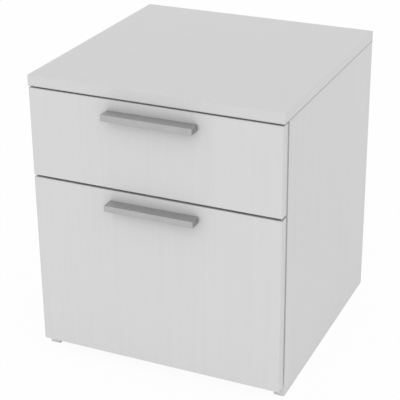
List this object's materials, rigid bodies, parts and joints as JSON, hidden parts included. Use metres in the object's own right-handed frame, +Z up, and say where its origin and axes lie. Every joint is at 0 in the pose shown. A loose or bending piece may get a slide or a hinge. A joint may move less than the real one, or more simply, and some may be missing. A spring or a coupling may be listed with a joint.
{
  "type": "pedestal filing cabinet",
  "caption": "White laminate-faced pedestal filing cabinet with a shallow drawer over a deep hanging-file drawer on telescopic ball slides, with satin metal bar pulls.",
  "frame": {"origin": "on the floor, under the middle of the object's box with its handles", "axes": "+Z up, drawers open towards -Y, +X to the right seen from the front"},
  "size_m": [0.438, 0.461, 0.503],
  "materials": {
    "white_laminate": "white laminate on board, matt, with a faint upright grain",
    "box_laminate": "plain white laminate on board, matt",
    "bottom_sheet": "white-faced hardboard, matt",
    "satin_metal": "satin grey metal",
    "slide_steel": "bright zinc-plated sheet steel",
    "cage_steel": "thin zinc-plated strip",
    "ball_steel": "polished steel",
    "rail_steel": "zinc-plated flat bar",
    "zinc_fittings": "zinc-plated",
    "beech": "raw beech",
    "bumper_rubber": "soft translucent grey",
    "grey_plastic": "matt moulded plastic"
  },
  "bodies": {
    "cabinet": {"top_panel": "white_laminate", "left_side_panel": "white_laminate", "right_side_panel": "white_laminate", "back_panel": "white_laminate", "bottom_panel": "white_laminate", "cam_discs": "zinc_fittings", "cam_bolts": "zinc_fittings", "cabinet_member_screws": "zinc_fittings", "panel_dowels": "beech", "upper_left_cabinet_member": "slide_steel", "upper_right_cabinet_member": "slide_steel", "lower_left_cabinet_member": "slide_steel", "lower_right_cabinet_member": "slide_steel"},
    "upper_drawer": {"upper_drawer_front": "white_laminate", "upper_handle": "satin_metal", "upper_handle_screws": "zinc_fittings", "upper_front_screws": "zinc_fittings", "upper_bumpers": "bumper_rubber", "upper_box_left_side": "box_laminate", "upper_box_right_side": "box_laminate", "upper_box_front": "box_laminate", "upper_box_back": "box_laminate", "upper_box_bottom": "bottom_sheet", "upper_box_screws": "zinc_fittings", "upper_left_drawer_member": "slide_steel", "upper_right_drawer_member": "slide_steel", "upper_drawer_member_screws": "zinc_fittings"},
    "upper_middle_members": {"upper_left_middle_member": "slide_steel", "upper_right_middle_member": "slide_steel"},
    "upper_outer_cages": {"upper_left_outer_cage": "cage_steel", "upper_right_outer_cage": "cage_steel", "upper_outer_balls": "ball_steel"},
    "upper_inner_cages": {"upper_left_inner_cage": "cage_steel", "upper_right_inner_cage": "cage_steel", "upper_inner_balls": "ball_steel"},
    "lower_drawer": {"lower_drawer_front": "white_laminate", "lower_handle": "satin_metal", "lower_handle_screws": "zinc_fittings", "lower_front_screws": "zinc_fittings", "lower_bumpers": "bumper_rubber", "lower_box_left_side": "box_laminate", "lower_box_right_side": "box_laminate", "lower_box_front": "box_laminate", "lower_box_back": "box_laminate", "lower_box_bottom": "bottom_sheet", "lower_box_screws": "zinc_fittings", "lower_left_drawer_member": "slide_steel", "lower_right_drawer_member": "slide_steel", "lower_drawer_member_screws": "zinc_fittings", "left_file_rail": "rail_steel", "right_file_rail": "rail_steel", "file_rail_holders": "grey_plastic"},
    "lower_middle_members": {"lower_left_middle_member": "slide_steel", "lower_right_middle_member": "slide_steel"},
    "lower_outer_cages": {"lower_left_outer_cage": "cage_steel", "lower_right_outer_cage": "cage_steel", "lower_outer_balls": "ball_steel"},
    "lower_inner_cages": {"lower_left_inner_cage": "cage_steel", "lower_right_inner_cage": "cage_steel", "lower_inner_balls": "ball_steel"}
  },
  "joints": [
    {"name": "upper_drawer_slide", "type": "slide", "parent": "cabinet", "child": "upper_drawer", "axis": [0, -1, 0], "range_m": [0, 0.35]},
    {"name": "upper_middle_members_slide", "type": "slide", "parent": "cabinet", "child": "upper_middle_members", "axis": [0, -1, 0], "range_m": [0, 0.175]},
    {"name": "upper_outer_cages_slide", "type": "slide", "parent": "cabinet", "child": "upper_outer_cages", "axis": [0, -1, 0], "range_m": [0, 0.0875]},
    {"name": "upper_inner_cages_slide", "type": "slide", "parent": "cabinet", "child": "upper_inner_cages", "axis": [0, -1, 0], "range_m": [0, 0.2625]},
    {"name": "lower_drawer_slide", "type": "slide", "parent": "cabinet", "child": "lower_drawer", "axis": [0, -1, 0], "range_m": [0, 0.35]},
    {"name": "lower_middle_members_slide", "type": "slide", "parent": "cabinet", "child": "lower_middle_members", "axis": [0, -1, 0], "range_m": [0, 0.175]},
    {"name": "lower_outer_cages_slide", "type": "slide", "parent": "cabinet", "child": "lower_outer_cages", "axis": [0, -1, 0], "range_m": [0, 0.0875]},
    {"name": "lower_inner_cages_slide", "type": "slide", "parent": "cabinet", "child": "lower_inner_cages", "axis": [0, -1, 0], "range_m": [0, 0.2625]}
  ],
  "couplings": [
    {"joint": "upper_middle_members_slide", "follows": "upper_drawer_slide", "ratio": 0.5},
    {"joint": "upper_outer_cages_slide", "follows": "upper_drawer_slide", "ratio": 0.25},
    {"joint": "upper_inner_cages_slide", "follows": "upper_drawer_slide", "ratio": 0.75},
    {"joint": "lower_middle_members_slide", "follows": "lower_drawer_slide", "ratio": 0.5},
    {"joint": "lower_outer_cages_slide", "follows": "lower_drawer_slide", "ratio": 0.25},
    {"joint": "lower_inner_cages_slide", "follows": "lower_drawer_slide", "ratio": 0.75}
  ]
}
